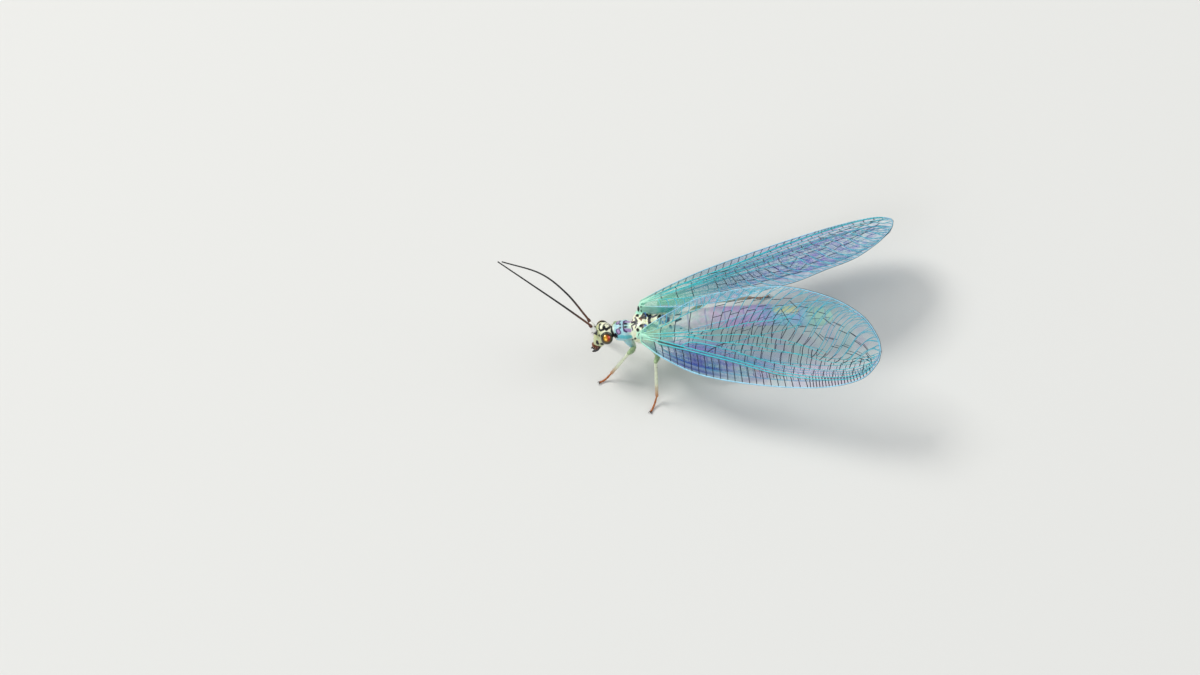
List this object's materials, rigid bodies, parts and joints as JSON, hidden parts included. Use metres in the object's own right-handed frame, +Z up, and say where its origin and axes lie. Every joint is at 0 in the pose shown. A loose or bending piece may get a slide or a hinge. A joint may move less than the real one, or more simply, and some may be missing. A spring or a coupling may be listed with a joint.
{
  "type": "green lacewing insect model",
  "caption": "Life-size blue-green lacewing standing with roof-like veined wings, one swung out, feelers raised and black-marked thorax.",
  "frame": {"origin": "middle of the whole model's base box on the floor that the feet stand on", "axes": "+Z up, the head faces -Y, the animal's left side is +X, +Y is the longest extent"},
  "size_m": [0.0106, 0.0192, 0.0077],
  "materials": {
    "body": "satin",
    "eye": "gloss",
    "feeler": "matte",
    "mouth": "satin",
    "leg": "satin",
    "tarsus": "matte",
    "wing": "gloss"
  },
  "bodies": {
    "root": {"abdomen": "body", "eye_left": "eye", "eye_right": "eye", "feeler_left": "feeler", "feeler_right": "feeler", "forewing_left": "wing", "forewing_right": "wing", "head": "body", "hindwing_left": "wing", "hindwing_right": "wing", "leg_fore_left_coxa": "leg", "leg_fore_left_femur": "leg", "leg_fore_left_tarsus": "tarsus", "leg_fore_left_tibia": "leg", "leg_fore_right_coxa": "leg", "leg_fore_right_femur": "leg", "leg_fore_right_tarsus": "tarsus", "leg_fore_right_tibia": "leg", "leg_hind_left_coxa": "leg", "leg_hind_left_femur": "leg", "leg_hind_left_tarsus": "tarsus", "leg_hind_left_tibia": "leg", "leg_hind_right_coxa": "leg", "leg_hind_right_femur": "leg", "leg_hind_right_tarsus": "tarsus", "leg_hind_right_tibia": "leg", "leg_mid_left_coxa": "leg", "leg_mid_left_femur": "leg", "leg_mid_left_tarsus": "tarsus", "leg_mid_left_tibia": "leg", "leg_mid_right_coxa": "leg", "leg_mid_right_femur": "leg", "leg_mid_right_tarsus": "tarsus", "leg_mid_right_tibia": "leg", "mesothorax": "body", "metathorax": "body", "mouthparts": "mouth", "prothorax": "body", "scape_left": "body", "scape_right": "body"}
  },
  "joints": []
}
